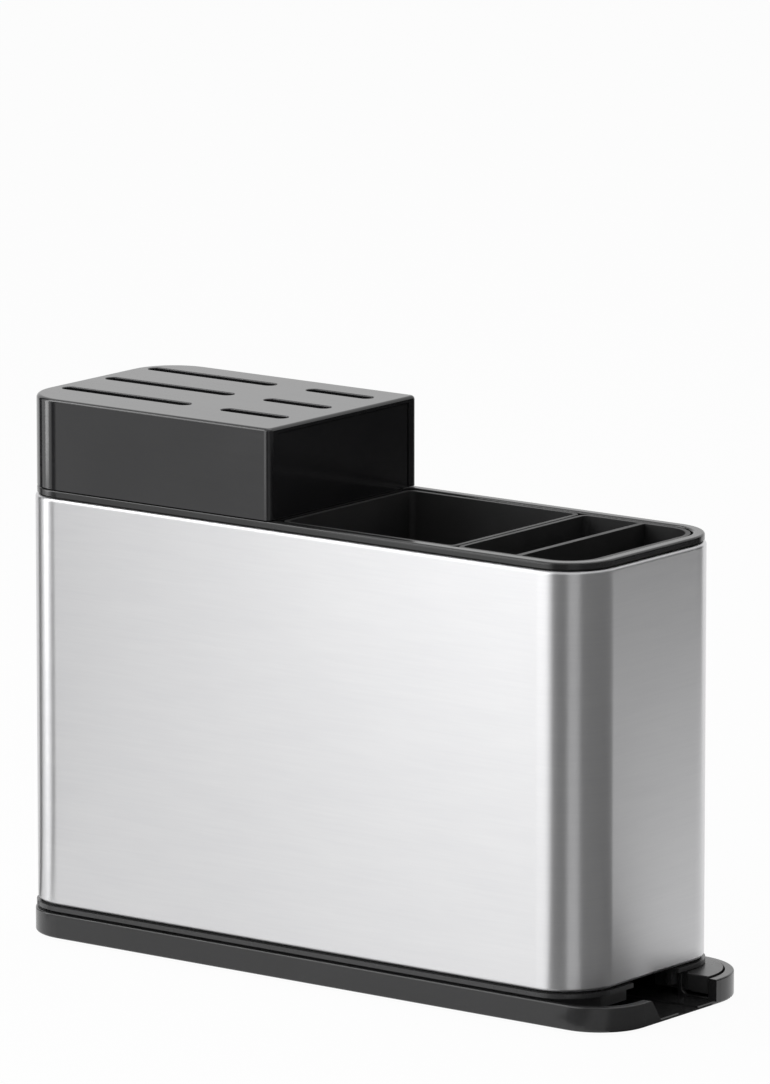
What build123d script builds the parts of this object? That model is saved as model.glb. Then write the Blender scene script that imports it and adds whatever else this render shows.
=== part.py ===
from build123d import *
import os

os.makedirs("parts", exist_ok=True)

# A cutlery drainer for the worktop: a brushed steel sleeve stands in a black drip tray,
# a slotted knife block covers its left half, and two cups stand open in its right half.
# Millimetres. X runs along the drainer towards the outlet, Y to the back, Z up, and the
# origin lies on the worktop under the middle of the tray.

# Steel sleeve
sleeve_length = 260.0
sleeve_width = 90.0
sleeve_height = 153.55
sleeve_corner_radius = 20.0
sheet_thickness = 0.6
curl_radius = 1.4
curl_reach = 1.6

# Drip tray and its feet
tray_height = 9.2
tray_wall = 2.4
tray_end_wall = 3.6
tray_floor = 1.4
tray_floor_fall = 1.6
tray_side_margin = 1.2
tray_left_margin = 0.5
tray_outlet_reach = 15.0
tray_left_corner_radius = 20.5
tray_near_corner_radius = 20.0
tray_far_corner_radius = 25.0
tray_bottom_edge_radius = 0.9
tray_top_edge_radius = 0.6
tray_inner_edge_radius = 0.4
foot_diameter = 11.0
foot_height = 1.0
foot_recess = 0.6
foot_inset = 17.0

# Outlet at the right end of the tray
outlet_width = 34.4
outlet_offset = 1.0
outlet_slope_run = 5.5
outlet_slope_radius = 2.0
outlet_lip_chamfer = 0.4
channel_width = 12.0
channel_depth = 0.5
channel_length = 120.0

# Cradle in the tray and the tongue of the collar that drops into it
cradle_thickness = 1.6
cradle_post_width = 1.8
cradle_sill_height = 0.6
cradle_corner_radius = 2.5
cradle_setback = 2.4
cradle_edge_radius = 0.4
tongue_gap = 0.6
tongue_side_gap = 2.0
tongue_lift = 1.0
tongue_top_rise = 0.5
tongue_edge_radius = 0.5
tongue_overlap = 14.0

# Ribs in the tray that carry the collar
seat_height = 5.2
seat_width = 2.4
seat_depth = 8.0
seat_pitch = 95.0

# Bottom collar
collar_gap = 1.0
collar_band_height = 1.65
collar_outset = 0.5
collar_flange_width = 8.0
collar_grip = 11.0
collar_wall = 2.0
ledge_height = 4.5
ledge_thickness = 2.5
mouth_width = 27.8
steel_reveal = 0.5
shoulder_inset = 1.2

# Drain grid
grid_thickness = 2.2
grid_slot_width = 4.0
grid_slot_length = 32.0
grid_slot_pitch = 9.5
grid_border = 9.0

# Top frame
frame_reveal = 0.7
frame_lip_height = 2.4
frame_inset = 0.6
frame_width = 5.0
frame_grip = 14.0
frame_wall = 2.0
frame_top_radius = 0.9
crossbar_width = 7.0
crossbar_depth = 9.0

# Cups
cup_wall = 1.8
cup_floor = 2.0
cup_corner_radius = 4.0
cup_top_drop = 0.5
cup_drain_width = 3.6
cup_drain_length = 16.0
cup_drain_pitch = 8.0
fork_bay_width = 24.2
spoon_bay_width = 24.4
divider_thickness = 2.4

# Knife block
block_length = 119.5
block_height = 33.8
block_inset = 0.6
block_wall = 2.4
block_roof = 3.0
block_edge_radius = 1.5
block_right_corner_radius = 2.4
block_inner_corner_radius = 0.2
block_shadow_gap = 0.3
slot_width = 5.6
slot_edge_radius = 0.5
slot_row_pitch = 25.5
slot_row_offset = 3.6
slot_rows = 3
long_slot_length = 59.5
short_slot_length = 30.0
long_slot_margin = 5.0
short_slot_margin = 9.3
guide_slot_extra = 1.0

# Side panel of the knife block
panel_border = 5.2
panel_roof_strip = 2.2
panel_recess = 0.4
panel_backing = 1.4
panel_lap = 2.5

# Blade guide, partitions and screws inside the knife block
guide_thickness = 2.4
guide_skirt_depth = 8.0
guide_skirt_wall = 2.0
partition_thickness = 1.6
partition_end_gap = 9.5
partition_floor_gap = 4.0
partition_groove_depth = 1.2
screw_shank_diameter = 2.8
screw_head_diameter = 5.6
screw_head_height = 1.8
screw_length = 10.0
boss_diameter = 7.0
boss_inset = 12.0

# Clearances
fit_gap = 0.1
loose_gap = 0.8
part_gap = 0.3

# Places along X and Y
overall_length = tray_left_margin + sleeve_length + tray_outlet_reach
tray_left = -overall_length / 2
tray_right = overall_length / 2
sleeve_left = tray_left + tray_left_margin
sleeve_right = sleeve_left + sleeve_length
sleeve_front = -sleeve_width / 2
sleeve_back = sleeve_width / 2
tray_front = sleeve_front - tray_side_margin
tray_back = sleeve_back + tray_side_margin
outlet_near = outlet_offset - outlet_width / 2
outlet_far = outlet_offset + outlet_width / 2
block_left = sleeve_left + block_inset
block_right = sleeve_left + block_length
block_front = sleeve_front + block_inset
block_back = sleeve_back - block_inset
crossbar_left = block_right - crossbar_width

# Levels, from the worktop up
tray_bottom = foot_height
tray_top = tray_bottom + tray_height
outlet_floor = tray_bottom + tray_floor
seat_level = tray_bottom + seat_height
collar_bottom = tray_top + collar_gap
collar_top = collar_bottom + collar_band_height
steel_bottom = collar_top + steel_reveal
ledge_level = steel_bottom + ledge_height
grid_top = ledge_level + grid_thickness
steel_top = steel_bottom + sleeve_height
lip_bottom = steel_top + frame_reveal
frame_top = lip_bottom + frame_lip_height
cup_bottom = grid_top
cup_top = frame_top - cup_top_drop
block_bottom = frame_top + block_shadow_gap
block_top = block_bottom + block_height
block_ceiling = block_top - block_roof
guide_bottom = frame_top
guide_top = guide_bottom + guide_thickness

# Insets from the sleeve's outer face
grip_inset = curl_reach + fit_gap
skirt_inset = tray_wall - min(tray_left_margin, tray_side_margin) + loose_gap
opening_inset = frame_width + loose_gap
OVERRUN = 2.0


def prism(x_low, x_high, y_low, y_high, radii, z_low, z_high):
    """Upright prism with a quarter arc at each corner: front left, front right, back right, back left."""
    front_left, front_right, back_right, back_left = radii
    arcs = [
        CenterArc((x_low + front_left, y_low + front_left), front_left, 180, 90),
        CenterArc((x_high - front_right, y_low + front_right), front_right, 270, 90),
        CenterArc((x_high - back_right, y_high - back_right), back_right, 0, 90),
        CenterArc((x_low + back_left, y_high - back_left), back_left, 90, 90),
    ]
    sides = [Line(arcs[k] @ 1, arcs[(k + 1) % 4] @ 0) for k in range(4)]
    return Pos(0, 0, z_low) * extrude(make_face(arcs + sides), z_high - z_low)


def slab(x_low, x_high, y_low, y_high, z_low, z_high):
    """Plain rectangular block between two corners."""
    centre = ((x_low + x_high) / 2, (y_low + y_high) / 2, (z_low + z_high) / 2)
    return Pos(*centre) * Box(x_high - x_low, y_high - y_low, z_high - z_low)


def sleeve_prism(inset, z_low, z_high):
    """Prism that follows the sleeve's outer face, set in by inset."""
    radii = [sleeve_corner_radius - inset] * 4
    return prism(sleeve_left + inset, sleeve_right - inset, sleeve_front + inset, sleeve_back - inset,
                 radii, z_low, z_high)


def sleeve_ring(outer_inset, inner_inset, z_low, z_high):
    """Ring that follows the sleeve between two insets."""
    inner = sleeve_prism(inner_inset, z_low - OVERRUN, z_high + OVERRUN)
    return sleeve_prism(outer_inset, z_low, z_high) - inner


def tray_prism(inset, z_low, z_high):
    """Prism that follows the tray's outer face, set in by inset."""
    left = tray_left_corner_radius - inset
    radii = (left, tray_near_corner_radius - inset, tray_far_corner_radius - inset, left)
    return prism(tray_left + inset, tray_right - inset, tray_front + inset, tray_back - inset,
                 radii, z_low, z_high)


def basin_prism(gap, z_low, z_high):
    """Prism that follows the inner face of the tray's wall, set in by gap."""
    inset = tray_wall + gap
    left = tray_left_corner_radius - inset
    radii = (left, tray_near_corner_radius - inset, tray_far_corner_radius - inset, left)
    return prism(tray_left + inset, tray_right - tray_end_wall - gap, tray_front + inset, tray_back - inset,
                 radii, z_low, z_high)


def slot_bar(x_low, x_high, y, width, z_low, z_high):
    """Round-ended bar along X, for cutting a slot."""
    bar = extrude(SlotOverall(x_high - x_low, width), z_high - z_low)
    return Pos((x_low + x_high) / 2, y, z_low) * bar


def cross_slots(x_low, x_high, y_low, y_high, pitch, width, z_low, z_high):
    """Row of round-ended bars along Y, centred between x_low and x_high."""
    count = int((x_high - x_low - width) // pitch) + 1
    bar = SlotOverall(y_high - y_low, width, rotation=90)
    bars = Sketch() + [place * bar for place in GridLocations(pitch, 1, count, 1)]
    return Pos((x_low + x_high) / 2, (y_low + y_high) / 2, z_low) * extrude(bars, z_high - z_low)


def foot_places():
    """Centres of the four feet under the corners of the tray."""
    far_x = sleeve_right - foot_inset
    near_x = sleeve_left + foot_inset
    return [(x, y) for x in (near_x, far_x) for y in (sleeve_front + foot_inset, sleeve_back - foot_inset)]


def slot_rows_y():
    """Places of the knife slots' rows along Y."""
    first = slot_row_offset - slot_row_pitch * (slot_rows - 1) / 2
    return [first + slot_row_pitch * k for k in range(slot_rows)]


def blade_slots(extra, z_low, z_high):
    """Cutters for the two knife slots in each row, widened and lengthened by extra."""
    long_low = block_left + long_slot_margin
    short_high = block_right - short_slot_margin
    cutters = []
    for y in slot_rows_y():
        for x_low, x_high in (
            (long_low, long_low + long_slot_length),
            (short_high - short_slot_length, short_high),
        ):
            cutters.append(slot_bar(x_low - extra / 2, x_high + extra / 2, y, slot_width + extra, z_low, z_high))
    return cutters


def boss_places():
    """Centres of the screw bosses inside the knife block, in line with the partitions."""
    x_places = (block_left + boss_inset, block_right - boss_inset)
    return [(x, y) for x in x_places for y in partition_places()]


# Drip tray: one moulding, with a floor that falls to the outlet
def make_drip_tray():
    body = tray_prism(0, tray_bottom, tray_top)
    body = fillet(body.edges().group_by(Axis.Z)[0], tray_bottom_edge_radius)
    body = fillet(body.edges().group_by(Axis.Z)[-1], tray_top_edge_radius)
    floor_left = (tray_left, outlet_floor + tray_floor_fall)
    floor_line = [floor_left, (sleeve_right, outlet_floor), (tray_right, outlet_floor)]
    above = [(tray_right, tray_top + OVERRUN), (tray_left, tray_top + OVERRUN)]
    side_view = Plane.XZ * make_face(Polyline(*floor_line, *above, close=True))
    basin = extrude(side_view, sleeve_width, both=True)
    tray = body - (basin_prism(0, tray_bottom, tray_top + OVERRUN) & basin)
    inner_edge = tray.faces().sort_by(Axis.Z)[-1].inner_wires()[0]
    tray = fillet(inner_edge.edges(), tray_inner_edge_radius)
    slope_top = outlet_near - outlet_slope_run
    beyond = slope_top - 2 * outlet_slope_radius
    outline = make_face(Polyline(
        (outlet_near, outlet_floor), (outlet_far, outlet_floor), (outlet_far, tray_top + OVERRUN),
        (beyond, tray_top + OVERRUN), (beyond, tray_top), (slope_top, tray_top), close=True))
    shoulder = outline.vertices().sort_by_distance((slope_top, tray_top, 0))[0]
    end_view = Plane.YZ * fillet(shoulder, outlet_slope_radius)
    notch = Pos(tray_right - tray_end_wall - OVERRUN, 0, 0) * extrude(end_view, tray_end_wall + 2 * OVERRUN)
    tray -= notch
    lip_line = [(tray_right, outlet_floor), (tray_right, outlet_floor - outlet_lip_chamfer),
                (tray_right - outlet_lip_chamfer, outlet_floor)]
    lip_wedge = extrude(Plane.XZ * make_face(Polyline(*lip_line, close=True)), outlet_width / 2, both=True)
    tray -= Pos(0, outlet_offset, 0) * lip_wedge
    tray -= slab(sleeve_right - channel_length, tray_right + OVERRUN,
                 outlet_offset - channel_width / 2, outlet_offset + channel_width / 2,
                 outlet_floor - channel_depth, tray_top)
    inside = basin_prism(-fit_gap, tray_bottom + tray_floor / 2, tray_top)
    for x in (-seat_pitch, 0, seat_pitch):
        for y_low, y_high in ((tray_front, tray_front + tray_wall + seat_depth),
                              (tray_back - tray_wall - seat_depth, tray_back)):
            rib = slab(x - seat_width / 2, x + seat_width / 2, y_low, y_high, tray_bottom, seat_level)
            tray += rib & inside
    tray += make_cradle() & inside
    for x, y in foot_places():
        tray -= Pos(x, y, tray_bottom) * Cylinder(foot_diameter / 2 + fit_gap, 2 * foot_recess)
    return tray


def cradle_left():
    """Outer side of the cradle's post, just under the sleeve's end."""
    return sleeve_right - cradle_setback


def make_cradle():
    """Upright plate beside the outlet, with a slot open at its top that takes the tongue."""
    post_right = cradle_left() + cradle_post_width
    plate = slab(cradle_left(), tray_right, outlet_far, outlet_far + cradle_thickness,
                 tray_bottom + tray_floor / 2, tray_top)
    sill = outlet_floor + cradle_sill_height
    opening = slab(post_right, tray_right + OVERRUN, outlet_far - OVERRUN,
                   outlet_far + cradle_thickness + OVERRUN, sill, tray_top + OVERRUN)
    corner = opening.edges().filter_by(Axis.Y).sort_by(Axis.Z)[0:2].sort_by(Axis.X)[0]
    cradle = plate - fillet(corner, cradle_corner_radius)
    return fillet(cradle.faces().sort_by(Axis.Y)[0].edges(), cradle_edge_radius)


def make_tray_feet():
    height = foot_height + foot_recess
    return Compound(children=[
        Pos(x, y, height / 2) * Cylinder(foot_diameter / 2, height) for x, y in foot_places()
    ])


# Bottom collar: holds the sleeve's lower edge, carries the grid and stands in the tray
def make_tongue():
    """Tongue that reaches past the sleeve and drops into the tray's cradle."""
    top = tray_top + tongue_top_rise
    bottom = outlet_floor + cradle_sill_height + tongue_lift
    reach = basin_prism(tongue_gap, bottom, top)
    nose_left = cradle_left() + cradle_post_width + tongue_side_gap
    front = outlet_far + tongue_gap
    behind = outlet_far + cradle_thickness + tongue_gap
    nose = slab(nose_left, tray_right, front, behind + OVERRUN, bottom, top)
    corner = nose.edges().filter_by(Axis.Y).sort_by(Axis.Z)[0:2].sort_by(Axis.X)[0]
    nose = fillet(corner, cradle_corner_radius)
    nose = fillet(nose.faces().sort_by(Axis.Y)[0].edges(), tongue_edge_radius)
    heel = slab(sleeve_right - tongue_overlap, tray_right, behind, tray_back, bottom, top)
    return (nose + heel) & reach


def make_bottom_collar():
    collar = sleeve_ring(-collar_outset, collar_flange_width, collar_bottom, collar_top)
    collar += sleeve_ring(skirt_inset, skirt_inset + collar_wall, seat_level, collar_bottom)
    collar += sleeve_ring(grip_inset, grip_inset + collar_wall, collar_top, steel_bottom + collar_grip)
    collar += sleeve_ring(grip_inset + collar_wall, collar_flange_width, ledge_level - ledge_thickness, ledge_level)
    collar += sleeve_ring(shoulder_inset, grip_inset + collar_wall, collar_top, steel_bottom)
    mouth_middle = (outlet_near + outlet_far) / 2
    collar -= slab(sleeve_right - collar_flange_width - OVERRUN, sleeve_right + OVERRUN,
                   mouth_middle - mouth_width / 2, mouth_middle + mouth_width / 2,
                   seat_level - OVERRUN, steel_bottom)
    collar += make_tongue()
    return collar


# Drain grid: slotted plate that the cups and the knife tips stand on
def make_drain_grid():
    inset = grip_inset + collar_wall + part_gap
    plate = sleeve_prism(inset, ledge_level, grid_top)
    x_low = sleeve_left + inset + grid_border
    x_high = sleeve_right - inset - grid_border
    half_gap = (sleeve_width - 2 * inset - 2 * grid_slot_length) / 6
    for y_low in (half_gap, -half_gap - grid_slot_length):
        plate -= cross_slots(x_low, x_high, y_low, y_low + grid_slot_length,
                             grid_slot_pitch, grid_slot_width, ledge_level - OVERRUN, grid_top + OVERRUN)
    return plate


# Steel sleeve: one sheet bent round and closed, with both its open ends curled inward
def make_steel_sleeve():
    outside = sleeve_prism(0, steel_bottom, steel_top)
    ends = outside.edges().group_by(Axis.Z)[0] + outside.edges().group_by(Axis.Z)[-1]
    outside = fillet(ends, curl_radius)
    inside = sleeve_prism(sheet_thickness, steel_bottom + sheet_thickness, steel_top - sheet_thickness)
    ends = inside.edges().group_by(Axis.Z)[0] + inside.edges().group_by(Axis.Z)[-1]
    inside = fillet(ends, curl_radius - sheet_thickness)
    return outside - inside - sleeve_prism(curl_reach, steel_bottom - OVERRUN, steel_top + OVERRUN)


# Top frame: lip over the sleeve's upper edge, with a crossbar between the two halves
def make_top_frame():
    lip = sleeve_ring(frame_inset, frame_width, lip_bottom, frame_top)
    lip = fillet(lip.edges().group_by(Axis.Z)[-1], frame_top_radius)
    frame = lip + sleeve_ring(grip_inset, grip_inset + frame_wall, steel_top - frame_grip, steel_top)
    frame += sleeve_ring(shoulder_inset, grip_inset + frame_wall, steel_top, lip_bottom)
    bar = slab(crossbar_left, block_right, sleeve_front, sleeve_back, frame_top - crossbar_depth, frame_top)
    return frame + (bar & sleeve_prism(frame_width / 2, lip_bottom - frame_grip, frame_top))


# Cups: open boxes with drain slots in their floors
def make_cup(x_low, x_high, right_radius, walls):
    """Cup between two places along X; walls lists the middles of its inner dividers."""
    y_low = sleeve_front + opening_inset
    y_high = sleeve_back - opening_inset
    outer_radii = (cup_corner_radius, right_radius, right_radius, cup_corner_radius)
    inner_radii = [radius - cup_wall for radius in outer_radii]
    cup = prism(x_low, x_high, y_low, y_high, outer_radii, cup_bottom, cup_top)
    cup -= prism(x_low + cup_wall, x_high - cup_wall, y_low + cup_wall, y_high - cup_wall,
                 inner_radii, cup_bottom + cup_floor, cup_top + OVERRUN)
    for x in walls:
        cup += slab(x - divider_thickness / 2, x + divider_thickness / 2,
                    y_low + cup_wall / 2, y_high - cup_wall / 2, cup_bottom, cup_top)
    stops = [x_low + cup_wall] + [x for x in walls] + [x_high - cup_wall]
    for left, right in zip(stops[:-1], stops[1:]):
        for middle in (-cup_drain_length, cup_drain_length):
            cup -= cross_slots(left + cup_wall, right - cup_wall,
                               middle - cup_drain_length / 2, middle + cup_drain_length / 2,
                               cup_drain_pitch, cup_drain_width, cup_bottom - OVERRUN, cup_bottom + 2 * cup_floor)
    return cup


def cutlery_cup_left():
    """Left face of the cutlery cup, whose two bays end at the frame's right side."""
    inside = fork_bay_width + divider_thickness + spoon_bay_width
    return sleeve_right - opening_inset - inside - 2 * cup_wall


def make_chopstick_cup():
    return make_cup(block_right + loose_gap, cutlery_cup_left() - loose_gap, cup_corner_radius, [])


def make_cutlery_cup():
    divider = cutlery_cup_left() + cup_wall + fork_bay_width + divider_thickness / 2
    right_radius = sleeve_corner_radius - opening_inset
    return make_cup(cutlery_cup_left(), sleeve_right - opening_inset, right_radius, [divider])


# Knife block: a hood with slots in its roof, open below
def block_prism(inset, z_low, z_high):
    """Prism that follows the knife block's outer face, set in by inset."""
    left = sleeve_corner_radius - block_inset - inset
    right = max(block_right_corner_radius - inset, block_inner_corner_radius)
    return prism(block_left + inset, block_right - inset, block_front + inset, block_back - inset,
                 (left, right, right, left), z_low, z_high)


def make_knife_block_hood():
    hood = block_prism(0, block_bottom, block_top)
    hood = fillet(hood.edges().group_by(Axis.Z)[-1], block_edge_radius)
    hood -= block_prism(block_wall, block_bottom - OVERRUN, block_ceiling)
    for x, y in boss_places():
        boss = Cylinder(boss_diameter / 2, block_ceiling - guide_top)
        pilot = Cylinder(screw_shank_diameter / 2 + fit_gap, screw_length)
        hood += Pos(x, y, (block_ceiling + guide_top) / 2) * boss
        hood -= Pos(x, y, guide_top + screw_length / 2 - OVERRUN / 2) * pilot
    for cutter in blade_slots(0, block_ceiling - OVERRUN, block_top + OVERRUN):
        hood -= cutter
    slot_edges = [edge for wire in hood.faces().sort_by(Axis.Z)[-1].inner_wires() for edge in wire.edges()]
    hood = fillet(slot_edges, slot_edge_radius)
    hood -= slab(block_right - block_wall - OVERRUN / 2, block_right + OVERRUN,
                 block_front + panel_border, block_back - panel_border,
                 block_bottom - OVERRUN, block_top - panel_roof_strip)
    return hood


# Side panel: closes the block's right side, lapped behind the hood's edges
def make_block_side_panel():
    lap_right = block_right - block_wall - fit_gap
    face = slab(lap_right, block_right - panel_recess,
                block_front + panel_border + part_gap, block_back - panel_border - part_gap,
                block_bottom, block_top - panel_roof_strip - part_gap)
    lap = slab(lap_right - panel_backing, lap_right,
               block_front + panel_border - panel_lap, block_back - panel_border + panel_lap,
               guide_top + part_gap, block_ceiling - part_gap)
    return face + lap


# Blade guide: floor of the block, with a skirt that drops into the frame's opening
def guide_right():
    """Right face of the guide, beside the side panel's lap."""
    return block_right - block_wall - fit_gap - panel_backing - part_gap


def make_blade_guide():
    inset = block_wall + part_gap
    guide = block_prism(inset, guide_bottom, guide_top)
    guide -= slab(guide_right(), block_right, sleeve_front, sleeve_back, guide_bottom - OVERRUN, guide_top + OVERRUN)
    skirt_bottom = guide_bottom - guide_skirt_depth
    skirt_right = crossbar_left - loose_gap
    skirt = sleeve_ring(opening_inset, opening_inset + guide_skirt_wall, skirt_bottom, guide_bottom)
    guide += skirt & slab(sleeve_left, skirt_right, sleeve_front, sleeve_back, skirt_bottom, guide_bottom)
    for cutter in blade_slots(guide_slot_extra, skirt_bottom - OVERRUN, guide_top + OVERRUN):
        guide -= cutter
    for x, y in boss_places():
        guide -= Pos(x, y, guide_bottom) * Cylinder(screw_shank_diameter / 2 + part_gap, 3 * guide_thickness)
    for y in partition_places():
        x_low, x_high = partition_ends()
        guide -= slab(x_low - fit_gap, x_high + fit_gap,
                      y - partition_thickness / 2 - fit_gap, y + partition_thickness / 2 + fit_gap,
                      guide_bottom - OVERRUN, guide_bottom + partition_groove_depth)
    return guide


# Partitions: plates between the rows of blades, seated in grooves of the guide
def partition_places():
    """Places of the partitions, midway between the rows of slots."""
    rows = slot_rows_y()
    return [(low + high) / 2 for low, high in zip(rows[:-1], rows[1:])]


def partition_ends():
    """Ends of the partitions along X, inside the guide's skirt."""
    x_low = sleeve_left + opening_inset + guide_skirt_wall + partition_end_gap
    return x_low, crossbar_left - partition_end_gap


def make_blade_partitions():
    x_low, x_high = partition_ends()
    return Compound(children=[
        slab(x_low, x_high, y - partition_thickness / 2, y + partition_thickness / 2,
             grid_top + partition_floor_gap, guide_bottom + partition_groove_depth)
        for y in partition_places()
    ])


def make_block_screws():
    head = Pos(0, 0, -screw_head_height / 2) * Cylinder(screw_head_diameter / 2, screw_head_height)
    head = fillet(head.edges().group_by(Axis.Z)[0], screw_head_height / 3)
    shank = Pos(0, 0, screw_length / 2 - screw_head_height / 2)
    screw = head + shank * Cylinder(screw_shank_diameter / 2, screw_length - screw_head_height)
    return Compound(children=[Pos(x, y, guide_bottom) * screw for x, y in boss_places()])


pieces = {
    "drip_tray": make_drip_tray(),
    "tray_feet": make_tray_feet(),
    "bottom_collar": make_bottom_collar(),
    "drain_grid": make_drain_grid(),
    "steel_sleeve": make_steel_sleeve(),
    "top_frame": make_top_frame(),
    "chopstick_cup": make_chopstick_cup(),
    "cutlery_cup": make_cutlery_cup(),
    "knife_block_hood": make_knife_block_hood(),
    "block_side_panel": make_block_side_panel(),
    "blade_guide": make_blade_guide(),
    "blade_partitions": make_blade_partitions(),
    "block_screws": make_block_screws(),
}
for name, shape in pieces.items():
    export_step(shape, f"parts/{name}.step")
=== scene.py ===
import math
import bpy
import numpy as np
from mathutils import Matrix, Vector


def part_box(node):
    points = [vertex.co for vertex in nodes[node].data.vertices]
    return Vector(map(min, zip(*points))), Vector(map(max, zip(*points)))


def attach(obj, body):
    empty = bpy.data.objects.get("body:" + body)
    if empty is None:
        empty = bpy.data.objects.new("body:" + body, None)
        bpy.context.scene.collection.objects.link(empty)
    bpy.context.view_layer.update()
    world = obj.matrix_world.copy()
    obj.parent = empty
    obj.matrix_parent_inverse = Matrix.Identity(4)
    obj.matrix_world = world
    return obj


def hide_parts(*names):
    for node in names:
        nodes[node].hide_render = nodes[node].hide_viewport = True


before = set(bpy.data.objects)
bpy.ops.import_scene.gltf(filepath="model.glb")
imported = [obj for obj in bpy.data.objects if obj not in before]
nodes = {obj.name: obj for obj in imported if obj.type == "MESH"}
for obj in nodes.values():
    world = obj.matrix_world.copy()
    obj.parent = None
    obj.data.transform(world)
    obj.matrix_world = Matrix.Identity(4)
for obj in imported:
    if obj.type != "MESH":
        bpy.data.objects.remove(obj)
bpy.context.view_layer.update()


# Drip tray. A shallow dish injection moulded in black ABS, with a low wall, a notch at its right
# end where the water runs out, and a cradle for the drainer's tongue. Its mould gave it a satin
# face with a very fine even grain.
flow_waves = 18
flow_dark = (0.92, 0.92, 0.93)
flow_light = (1.08, 1.08, 1.12)
sheen_waves = 70
sheen_range = (0.88, 1.12)
moulding_ior = 1.5
satin_grey = 0.024
satin_roughness = 0.22
satin_grain_size = 0.0005
satin_grain_depth = 0.000006


def shader_tree(name):
    """A material with only its output and its main shader, both ready to be linked."""
    material = bpy.data.materials.new(name)
    material.use_nodes = True
    tree = material.node_tree
    tree.nodes.clear()
    output = tree.nodes.new("ShaderNodeOutputMaterial")
    shader = tree.nodes.new("ShaderNodeBsdfPrincipled")
    tree.links.new(shader.outputs["BSDF"], output.inputs["Surface"])
    return material, tree, shader


def own_place(tree):
    """Place on the piece itself, in metres, which moves with the piece."""
    return tree.nodes.new("ShaderNodeTexCoord").outputs["Object"]


def noise(tree, vector, scale, detail=2.0, roughness=0.5):
    """Noise texture read along a vector output; scale is in waves per metre."""
    texture = tree.nodes.new("ShaderNodeTexNoise")
    texture.inputs["Scale"].default_value = scale
    texture.inputs["Detail"].default_value = detail
    texture.inputs["Roughness"].default_value = roughness
    tree.links.new(vector, texture.inputs["Vector"])
    return texture.outputs["Fac"]


def spread(tree, value, low, high, start=0.3, end=0.7):
    """Value between start and end stretched to the range low to high."""
    node = tree.nodes.new("ShaderNodeMapRange")
    node.inputs["From Min"].default_value = start
    node.inputs["From Max"].default_value = end
    node.inputs["To Min"].default_value = low
    node.inputs["To Max"].default_value = high
    tree.links.new(value, node.inputs["Value"])
    return node.outputs["Result"]


def blend_colours(tree, value, first, second, start=0.35, end=0.65):
    """Colour that runs from first to second as value runs from start to end."""
    ramp = tree.nodes.new("ShaderNodeValToRGB")
    ramp.color_ramp.elements[0].position = start
    ramp.color_ramp.elements[0].color = (*first, 1)
    ramp.color_ramp.elements[1].position = end
    ramp.color_ramp.elements[1].color = (*second, 1)
    tree.links.new(value, ramp.inputs["Fac"])
    return ramp.outputs["Color"]


def relief(tree, shader, height, depth, strength=1.0):
    """Bump of a real depth in metres."""
    bump = tree.nodes.new("ShaderNodeBump")
    bump.inputs["Strength"].default_value = strength
    bump.inputs["Distance"].default_value = depth
    tree.links.new(height, bump.inputs["Height"])
    tree.links.new(bump.outputs["Normal"], shader.inputs["Normal"])


def moulded_plastic(name, grey, roughness, grain_size, grain_depth):
    """Black moulding: faint flow clouds in colour and sheen, over an even eroded grain."""
    material, tree, shader = shader_tree(name)
    place = own_place(tree)
    dark = [grey * share for share in flow_dark]
    light = [grey * share for share in flow_light]
    tone = blend_colours(tree, noise(tree, place, flow_waves, detail=4), dark, light)
    tree.links.new(tone, shader.inputs["Base Color"])
    least, most = [roughness * share for share in sheen_range]
    sheen = spread(tree, noise(tree, place, sheen_waves, detail=3), least, most)
    tree.links.new(sheen, shader.inputs["Roughness"])
    shader.inputs["IOR"].default_value = moulding_ior
    relief(tree, shader, noise(tree, place, 1 / grain_size, detail=3), grain_depth)
    return material


def finish(node, material):
    """Gives a piece of the drainer its finish in every slot."""
    slots = nodes[node].data.materials
    for k in range(len(slots)):
        slots[k] = material


satin_black = moulded_plastic("satin_black_plastic", satin_grey, satin_roughness,
                              satin_grain_size, satin_grain_depth)
finish("drip_tray", satin_black)


# Tray feet. Four soft rubber pads, punched from sheet and pressed into shallow seats under the
# tray's corners, dull and slightly dusty.
rubber_dark = (0.02, 0.02, 0.02)
rubber_dusty = (0.045, 0.044, 0.042)
rubber_roughness = (0.7, 0.9)
bloom_waves = 400
grit_waves = 2500
grit_depth = 0.00003


def foot_rubber():
    """Dull rubber with a coarse cloudy bloom."""
    material, tree, shader = shader_tree("foot_rubber")
    place = own_place(tree)
    bloom = noise(tree, place, bloom_waves, detail=5, roughness=0.65)
    tree.links.new(blend_colours(tree, bloom, rubber_dark, rubber_dusty), shader.inputs["Base Color"])
    tree.links.new(spread(tree, bloom, *rubber_roughness), shader.inputs["Roughness"])
    relief(tree, shader, noise(tree, place, grit_waves), grit_depth)
    return material


finish("tray_feet", foot_rubber())


# Bottom collar. The black moulding that the sleeve's lower edge sits on, with a tongue that drops
# into the tray's cradle. It has the tray's fine grain and is slightly greyer and duller, and the
# faces that go up inside the sleeve are left rough from the mould and darkened with painted shade.
collar_grey = 0.042
collar_roughness = 0.28
sheet_low, sheet_high = (np.array(corner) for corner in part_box("steel_sleeve"))
joint_below_sheet = 0.0005
joint_above_sheet = 0.0007
covered_heights = (sheet_low[2] - joint_below_sheet, sheet_high[2] + joint_above_sheet)
covered_edge = 0.00004
# Painted shade: near-black colour put on the faces inside the sleeve, for the dark gap under the lip and
# above the collar.
painted_shade_grey = 0.003
joint_roughness = 0.9


def joined(tree, operation, first, second):
    """Result of one sum on two values, such as their product or the greater of them."""
    node = tree.nodes.new("ShaderNodeMath")
    node.operation = operation
    tree.links.new(first, node.inputs[0])
    tree.links.new(second, node.inputs[1])
    return node.outputs["Value"]


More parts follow.
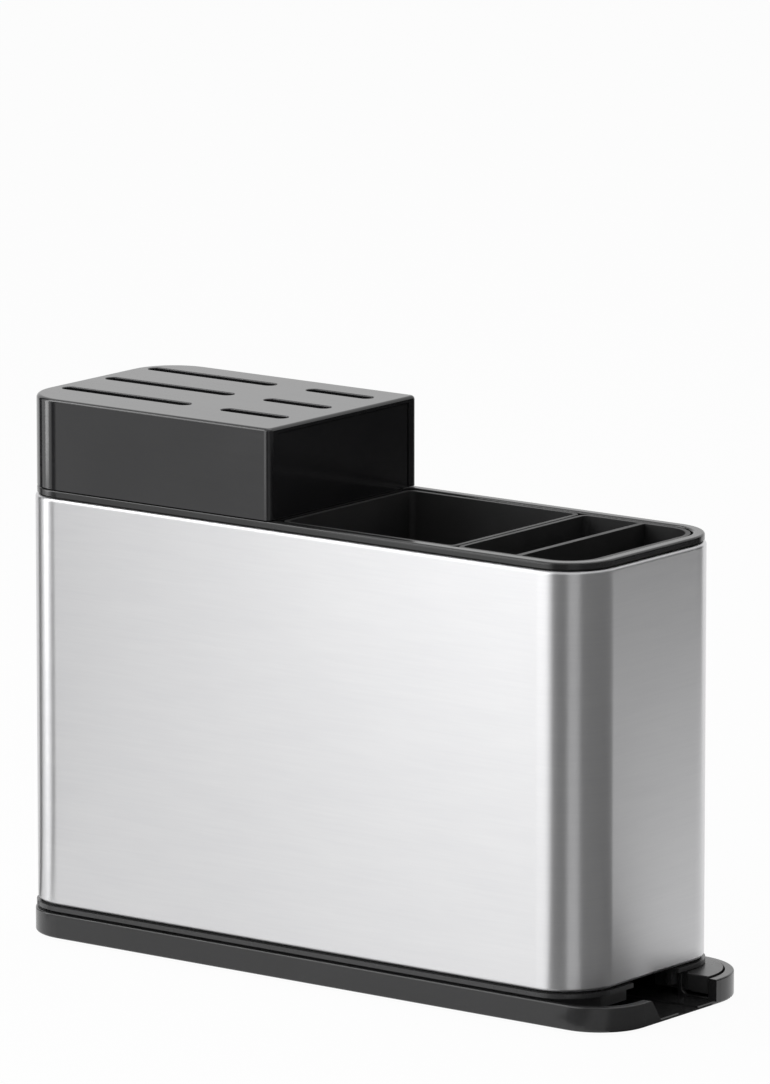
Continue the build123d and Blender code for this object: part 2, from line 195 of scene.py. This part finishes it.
def dull_and_shade_inside(material, low, high):
    """Makes a moulding rough, and near black with painted shade, between two heights, where the sleeve
    covers it.
    """
    tree = material.node_tree
    shader = tree.nodes["Principled BSDF"]
    parts = tree.nodes.new("ShaderNodeSeparateXYZ")
    tree.links.new(own_place(tree), parts.inputs["Vector"])
    above = spread(tree, parts.outputs["Z"], 0, 1, low, low + covered_edge)
    below = spread(tree, parts.outputs["Z"], 1, 0, high - covered_edge, high)
    inside = joined(tree, "MULTIPLY", above, below)
    rough = tree.nodes.new("ShaderNodeMix")
    tree.links.new(inside, rough.inputs["Factor"])
    tree.links.new(shader.inputs["Roughness"].links[0].from_socket, rough.inputs["A"])
    rough.inputs["B"].default_value = joint_roughness
    tree.links.new(rough.outputs["Result"], shader.inputs["Roughness"])
    # Painted shade: between the two heights the colour is mixed to near black, standing in for the shadow
    # in the gap.
    painted_shade = tree.nodes.new("ShaderNodeMixRGB")
    tree.links.new(inside, painted_shade.inputs["Fac"])
    tree.links.new(shader.inputs["Base Color"].links[0].from_socket, painted_shade.inputs["Color1"])
    painted_shade.inputs["Color2"].default_value = (painted_shade_grey, painted_shade_grey, painted_shade_grey, 1)
    tree.links.new(painted_shade.outputs["Color"], shader.inputs["Base Color"])
    return material


collar_black = moulded_plastic("collar_black_plastic", collar_grey, collar_roughness,
                               satin_grain_size, satin_grain_depth)
# The collar's faces inside the sleeve get painted shade as well as their rough finish.
finish("bottom_collar", dull_and_shade_inside(collar_black, *covered_heights))


# Drain grid. A slotted plate moulded in duller black polypropylene, with a slightly coarser grain.
# It isn't fixed, and lies on the ledge that runs round inside the collar.
matt_grey = 0.016
matt_roughness = 0.5
matt_grain_size = 0.0007
matt_grain_depth = 0.00002
matt_black = moulded_plastic("matt_black_plastic", matt_grey, matt_roughness,
                             matt_grain_size, matt_grain_depth)
finish("drain_grid", matt_black)


# Steel sleeve. One stainless sheet, brushed along its length, bent round four corners, butt
# welded at the back and ground flush. Both its open ends are curled inward to a small radius.
sheet = 0.0006
bend_radius = 0.020
bend_steps = 32
straight_steps = 24
curl_radius = 0.0014
curl_reach = 0.0016
curl_steps = 8
steel_dark = (0.602, 0.602, 0.612)
steel_light = (0.630, 0.630, 0.636)
steel_roughness = (0.30, 0.38)
steel_pull = 0.8
hair_waves = (6000, 22, 1)
hair_depth = 0.0000025
streak_waves = (900, 30, 1)
belt_waves = (120, 22, 1)
belt_share = 0.45


def travelled_along(points):
    """Length travelled along a line up to each of its points, which starts at 0."""
    return np.concatenate([[0], np.cumsum(np.linalg.norm(np.diff(points, axis=0), axis=1))])


def rounded_path(low, high, radius, bend_steps, straight_steps):
    """Closed path round a rectangle, anticlockwise from the front's right end.

    Each side runs straight between two corners, each corner is a quarter circle about its own
    centre, and a point's outward direction is square to the path there. Returns the points, the
    outward directions and the length travelled up to each point, with the first point again last.
    """
    corners = (
        (high[0] - radius, low[1] + radius, -0.5),
        (high[0] - radius, high[1] - radius, 0.0),
        (low[0] + radius, high[1] - radius, 0.5),
        (low[0] + radius, low[1] + radius, 1.0),
    )
    points = []
    outward = []
    for x, y, start in corners:
        turn = math.pi * (start + 0.5 * np.linspace(0, 1, bend_steps + 1))
        direction = np.stack([np.cos(turn), np.sin(turn)], -1)
        bend = np.array([x, y]) + radius * direction
        if points:
            share = np.linspace(0, 1, straight_steps + 1)[1:-1, None]
            points.append(points[-1][-1] + share * (bend[0] - points[-1][-1]))
            outward.append(np.repeat(direction[:1], straight_steps - 1, 0))
        points.append(bend)
        outward.append(direction)
    share = np.linspace(0, 1, straight_steps + 1)[1:, None]
    points.append(points[-1][-1] + share * (points[0][0] - points[-1][-1]))
    outward.append(np.repeat(outward[0][:1], straight_steps, 0))
    points = np.concatenate(points)
    return points, np.concatenate(outward), travelled_along(points)


def curled_sheet(thickness, radius, reach, bottom, top, steps):
    """Upright sheet seen from its end, with both ends curled inward, anticlockwise.

    Its outer face lies at s = 0. At the top, with turn t, the outer bend is centre + radius *
    (cos t, sin t) for t from 0 to 90 degrees, the tip is half a turn of half the thickness, and the
    inner bend is concentric with the outer one and goes back. The bottom is the same upside down.
    Returns the points and the normals.
    """
    quarter = np.pi / 2 * np.linspace(0, 1, steps + 1)
    half = np.pi / 2 + np.pi * np.linspace(0, 1, steps + 1)
    turns = np.concatenate([quarter, half, quarter[::-1]])
    way = np.stack([np.cos(turns), np.sin(turns)], -1)
    bend = (-radius, top - radius)
    tip = (thickness / 2 - reach, top - thickness / 2)
    centres = np.repeat([bend, tip, bend], steps + 1, 0)
    radii = np.repeat([radius, thickness / 2, radius - thickness], steps + 1)[:, None]
    upper = centres + radii * way
    facing = way * np.repeat([1, 1, -1], steps + 1)[:, None]
    lower = upper[::-1] * (1, -1) + (0, bottom + top)
    return np.concatenate([upper, lower]), np.concatenate([facing, facing[::-1] * (1, -1)])


def put_in_scene(name, data):
    """Object of its own for a mesh, a lamp or a camera."""
    thing = bpy.data.objects.new(name, data)
    bpy.context.scene.collection.objects.link(thing)
    return thing


def carried_profile(name, path, profile, facing, material):
    """Mesh of a closed profile carried round a closed path.

    A profile point (s, z) lies s outward from the path at height z, and its normal (p, q) leans p
    outward and q upward, so the grid's points are path + s * outward and its normals are
    p * outward + q * up. The map's U is the way up the profile and its V the way along the path.
    """
    points, outward, travelled = path
    rows, columns = len(points), len(profile)
    places = np.empty((rows, columns, 3))
    places[..., :2] = points[:, None] + profile[None, :, :1] * outward[:, None]
    places[..., 2] = profile[None, :, 1]
    normals = np.empty((rows, columns, 3))
    normals[..., :2] = facing[None, :, :1] * outward[:, None]
    normals[..., 2] = facing[None, :, 1]
    up = travelled_along(np.concatenate([profile, profile[:1]]))
    row, column = np.meshgrid(np.arange(rows - 1), np.arange(columns), indexing="ij")
    next_row = (row + 1) % (rows - 1)
    next_column = (column + 1) % columns
    corners = np.stack([row * columns + column, next_row * columns + column,
                        next_row * columns + next_column, row * columns + next_column], -1).reshape(-1, 4)
    along = np.stack([travelled[row], travelled[row + 1], travelled[row + 1], travelled[row]], -1)
    across = np.stack([up[column], up[column], up[column + 1], up[column + 1]], -1)
    mesh = bpy.data.meshes.new(name)
    mesh.vertices.add((rows - 1) * columns)
    mesh.vertices.foreach_set("co", places[:-1].ravel())
    mesh.loops.add(corners.size)
    mesh.loops.foreach_set("vertex_index", corners.ravel())
    mesh.polygons.add(len(corners))
    mesh.polygons.foreach_set("loop_start", np.arange(0, corners.size, 4))
    mesh.polygons.foreach_set("use_smooth", np.ones(len(corners), bool))
    chart = mesh.uv_layers.new(name="Sheet")
    chart.data.foreach_set("uv", np.stack([across, along], -1).reshape(-1))
    mesh.update()
    mesh.validate()
    mesh.normals_split_custom_set_from_vertices(normals[:-1].reshape(-1, 3))
    mesh.materials.append(material)
    return put_in_scene(name, mesh)


def stretched_noise(tree, vector, waves, detail, roughness):
    """Noise with its own number of waves per metre along each axis of a vector."""
    stretch = tree.nodes.new("ShaderNodeMapping")
    stretch.inputs["Scale"].default_value = waves
    tree.links.new(vector, stretch.inputs["Vector"])
    return noise(tree, stretch.outputs["Vector"], 1, detail, roughness)


def brushed_steel(name):
    """Stainless steel brushed along V: hair-thin grooves up U, in patches of unlike length, over
    wide faint clouds that the belt leaves."""
    material, tree, shader = shader_tree(name)
    chart = tree.nodes.new("ShaderNodeUVMap")
    chart.uv_map = "Sheet"
    hairs = stretched_noise(tree, chart.outputs["UV"], hair_waves, 3, 0.6)
    streaks = stretched_noise(tree, chart.outputs["UV"], streak_waves, 4, 0.6)
    clouds = stretched_noise(tree, chart.outputs["UV"], belt_waves, 4, 0.55)
    mixed = tree.nodes.new("ShaderNodeMix")
    mixed.inputs["Factor"].default_value = belt_share
    tree.links.new(streaks, mixed.inputs["A"])
    tree.links.new(clouds, mixed.inputs["B"])
    tone = blend_colours(tree, mixed.outputs["Result"], steel_dark, steel_light)
    tree.links.new(tone, shader.inputs["Base Color"])
    tree.links.new(spread(tree, hairs, *steel_roughness), shader.inputs["Roughness"])
    relief(tree, shader, hairs, hair_depth)
    shader.inputs["Metallic"].default_value = 1
    shader.inputs["Anisotropic"].default_value = steel_pull
    tangent = tree.nodes.new("ShaderNodeTangent")
    tangent.direction_type = "UV_MAP"
    tangent.uv_map = "Sheet"
    tree.links.new(tangent.outputs["Tangent"], shader.inputs["Tangent"])
    return material


sleeve_path = rounded_path(sheet_low[:2], sheet_high[:2], bend_radius, bend_steps, straight_steps)
sheet_profile, sheet_facing = curled_sheet(sheet, curl_radius, curl_reach,
                                           sheet_low[2], sheet_high[2], curl_steps)
sleeve = carried_profile("brushed_sleeve", sleeve_path, sheet_profile, sheet_facing,
                         brushed_steel("brushed_steel"))
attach(sleeve, "housing")
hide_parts("steel_sleeve")


# Top frame. A black lip that caps the sleeve's upper edge, with a bar across it under the block's
# right side. Satin moulding, a little smoother than the tray, and rough and darkened with painted shade
# where it goes into the sleeve.
smooth_grey = 0.016
smooth_roughness = 0.18
smooth_grain_size = 0.0004
smooth_grain_depth = 0.000004
smooth_black = moulded_plastic("smooth_black_plastic", smooth_grey, smooth_roughness,
                               smooth_grain_size, smooth_grain_depth)
# The frame's faces inside the sleeve get the same painted shade as the collar's.
finish("top_frame", dull_and_shade_inside(smooth_black, *covered_heights))


# Cups. Two open boxes moulded in the grid's dull black, one undivided and one with a wall across
# it. They are lowered through the frame and stand loose on the grid.
finish("chopstick_cup", matt_black)
finish("cutlery_cup", matt_black)


# Knife block. A glossy black hood with slots in its roof, closed at its right by a glossy panel.
# Both come from polished moulds, which leave faint long waves in the shine.
gloss_dark = (0.012, 0.012, 0.013)
gloss_light = (0.016, 0.016, 0.017)
gloss_roughness = (0.09, 0.15)
gloss_ior = 1.52
gloss_cloud_waves = 25
wipe_waves = (40, 300, 700)
polish_waves = 30
polish_depth = 0.00008
polish_strength = 0.5


def polished_plastic(name):
    """Glossy black: deep even colour, a smooth skin with slow waves and a few fine wipe marks."""
    material, tree, shader = shader_tree(name)
    place = own_place(tree)
    clouds = noise(tree, place, gloss_cloud_waves, detail=4)
    tree.links.new(blend_colours(tree, clouds, gloss_dark, gloss_light), shader.inputs["Base Color"])
    marks = stretched_noise(tree, place, wipe_waves, 5, 0.7)
    tree.links.new(spread(tree, marks, *gloss_roughness), shader.inputs["Roughness"])
    shader.inputs["IOR"].default_value = gloss_ior
    relief(tree, shader, noise(tree, place, polish_waves, detail=1), polish_depth, polish_strength)
    return material


glossy_black = polished_plastic("polished_black_plastic")
finish("knife_block_hood", glossy_black)
finish("block_side_panel", glossy_black)


# Inside the block. A slotted guide in the grid's dull black closes the hood from below, two thin
# plates hang from it between the rows of slots, and four small plated screws hold it in the hood.
plating_dark = (0.42, 0.42, 0.42)
plating_light = (0.55, 0.55, 0.55)
plating_roughness = (0.25, 0.4)
mottle_waves = 1500


def screw_steel():
    """Plated steel, lightly mottled."""
    material, tree, shader = shader_tree("screw_steel")
    mottle = noise(tree, own_place(tree), mottle_waves, detail=3)
    tree.links.new(blend_colours(tree, mottle, plating_dark, plating_light), shader.inputs["Base Color"])
    tree.links.new(spread(tree, mottle, *plating_roughness), shader.inputs["Roughness"])
    shader.inputs["Metallic"].default_value = 1
    return material


finish("blade_guide", matt_black)
finish("blade_partitions", matt_black)
finish("block_screws", screw_steel())


# Studio floor. A plain sheet of white card. What looks straight at it sees it lifted to near white,
# and the rest of its tone is its own light and the drainer's soft shadow.
floor_reach = 12.0
floor_white = (0.88, 0.88, 0.88, 1)
floor_lift = 0.96
plain_white = (1, 1, 1, 1)


def seen_directly(tree):
    """1 for rays of the camera, of mirror reflections and of clear glass, and otherwise 0."""
    path = tree.nodes.new("ShaderNodeLightPath")
    seen = joined(tree, "MAXIMUM", path.outputs["Is Camera Ray"], path.outputs["Is Glossy Ray"])
    return joined(tree, "MAXIMUM", seen, path.outputs["Is Transmission Ray"])


def white_card():
    """White card: its own lit tone, lifted towards plain white for what looks straight at it."""
    material = bpy.data.materials.new("white_card")
    material.use_nodes = True
    tree = material.node_tree
    tree.nodes.clear()
    output = tree.nodes.new("ShaderNodeOutputMaterial")
    card = tree.nodes.new("ShaderNodeBsdfDiffuse")
    card.inputs["Color"].default_value = floor_white
    white = tree.nodes.new("ShaderNodeEmission")
    white.inputs["Color"].default_value = plain_white
    mixed = tree.nodes.new("ShaderNodeMixShader")
    tree.links.new(spread(tree, seen_directly(tree), 0, floor_lift, 0, 1), mixed.inputs["Fac"])
    tree.links.new(card.outputs["BSDF"], mixed.inputs[1])
    tree.links.new(white.outputs["Emission"], mixed.inputs[2])
    tree.links.new(mixed.outputs["Shader"], output.inputs["Surface"])
    return material


floor_mesh = bpy.data.meshes.new("studio_floor")
reach = floor_reach * np.array([[-1, -1, 0], [1, -1, 0], [1, 1, 0], [-1, 1, 0]])
floor_mesh.from_pydata(reach.tolist(), [], [(0, 1, 2, 3)])
floor_mesh.materials.append(white_card())
put_in_scene("studio_floor", floor_mesh)


# Studio room. It is nearly white to what looks straight at it, in a mirror too, and gives all else
# a dim even light, as the far walls and the ceiling of a white room do.
room_light = 0.35
room_white = 0.95
world = bpy.data.worlds.new("studio")
world.use_nodes = True
room = world.node_tree.nodes["Background"]
room.inputs["Color"].default_value = plain_white
room_tone = spread(world.node_tree, seen_directly(world.node_tree), room_light, room_white, 0, 1)
world.node_tree.links.new(room_tone, room.inputs["Strength"])
bpy.context.scene.world = world


# Reflected cards. Black, grey and pale card lies on the studio floor and stands round the drainer,
# fanned out from the sleeve's front corners. It shows only in reflections, where it makes the
# upright bands on the steel and on the black mouldings.
pulp_waves = 8
pulp_dark = 0.95
pulp_light = 1.05
pulp_roughness = 0.9
pulp_sheen = 0.1
card_thickness = 0.001
right_corner = (0.103, -0.025)
left_corner = (-0.117, -0.025)


def plain_card(name, grey):
    """Dull card of one grey, with the faint mottle of its pulp."""
    material, tree, shader = shader_tree(name)
    pulp = noise(tree, own_place(tree), pulp_waves)
    tone = blend_colours(tree, pulp, (grey * pulp_dark,) * 3, (grey * pulp_light,) * 3)
    tree.links.new(tone, shader.inputs["Base Color"])
    shader.inputs["Roughness"].default_value = pulp_roughness
    shader.inputs["Specular IOR Level"].default_value = pulp_sheen
    return material


def folded_card(name, material, centre, start, end, near, far, tall):
    """Card between two azimuths round a centre, lying from near to far and then standing up.

    A corner of it lies at centre + distance * (cos azimuth, sin azimuth), with azimuths in degrees
    from +X towards +Y, and the standing part rises from its far edge.
    """
    turn = np.radians([start, end])
    way = np.stack([np.cos(turn), np.sin(turn)], -1)
    corners = np.zeros((6, 3))
    corners[0:2, :2] = np.array(centre) + near * way
    corners[2:4, :2] = np.array(centre) + far * way
    corners[4:6, :2] = corners[2:4, :2]
    corners[:4, 2] = card_thickness
    corners[4:, 2] = tall
    mesh = bpy.data.meshes.new(name)
    mesh.from_pydata(corners.tolist(), [], [(0, 2, 3, 1), (2, 4, 5, 3)])
    mesh.materials.append(material)
    card = put_in_scene(name, mesh)
    card.visible_camera = False
    card.visible_diffuse = False
    card.visible_transmission = False
    card.visible_shadow = False


black_card = plain_card("black_card", 0.02)
grey_card = plain_card("grey_card", 0.32)
pale_card = plain_card("pale_card", 0.85)
folded_card("front_card", grey_card, right_corner, start=-90, end=-56, near=0.035, far=0.9, tall=0.9)
folded_card("corner_card", pale_card, right_corner, start=-56, end=-31, near=0.035, far=0.9, tall=0.9)
folded_card("right_card", grey_card, right_corner, start=-31, end=50, near=0.035, far=0.9, tall=0.9)
folded_card("back_card", black_card, right_corner, start=50, end=80, near=0.75, far=1.4, tall=0.6)
folded_card("left_card", black_card, left_corner, start=-142, end=-134, near=0.05, far=0.9, tall=0.9)
folded_card("far_left_card", black_card, left_corner, start=169, end=183, near=0.05, far=0.9, tall=0.9)


# Soft boxes. Even rectangles of light, one in front, two at the left and one high over the back.
# They light the drainer and also show as the bright bands on the steel.
def soft_box(name, azimuth, distance, height, aim, width, tall, brightness):
    """Rectangle of even light that faces the point at the height aim over the origin.

    azimuth is measured in degrees from +X towards +Y, height is that of the light's middle, and
    brightness is the light's own tone, so its power is brightness times pi times its area.
    """
    light = bpy.data.lights.new(name, "AREA")
    light.shape = "RECTANGLE"
    light.size = width
    light.size_y = tall
    light.energy = brightness * math.pi * width * tall
    lamp = put_in_scene(name, light)
    turn = math.radians(azimuth)
    lamp.location = (distance * math.cos(turn), distance * math.sin(turn), height)
    lean = math.atan2(distance, height - aim)
    lamp.rotation_euler = (lean, 0, turn + math.pi / 2)
    lamp.visible_camera = False


soft_box("key_box", azimuth=-108, distance=0.9, height=0.66, aim=0.66,
         width=0.56, tall=1.3, brightness=1.5)
soft_box("left_strip", azimuth=-158, distance=1.0, height=0.66, aim=0.66,
         width=0.18, tall=1.3, brightness=3.6)
soft_box("edge_box", azimuth=-145, distance=0.9, height=0.85, aim=0.1,
         width=0.5, tall=0.4, brightness=3.0)
soft_box("top_box", azimuth=100, distance=0.5, height=1.5, aim=0.1,
         width=1.2, tall=0.9, brightness=1.4)


# Camera. Level with no tilt sideways, from the front right and a little above, far off and with a
# long lens, so that upright edges stay nearly parallel.
camera_place = (2.16245, -2.8381, 0.8545)
camera_dip = 11.048
camera_turn = 37.291
camera = bpy.data.cameras.new("photo_camera")
camera.sensor_width = 36
camera.lens = 330.69
camera.clip_end = 100
eye = put_in_scene("photo_camera", camera)
eye.location = camera_place
eye.rotation_euler = (math.radians(90 - camera_dip), 0, math.radians(camera_turn))
bpy.context.scene.camera = eye
bpy.context.scene.view_settings.view_transform = "Standard"
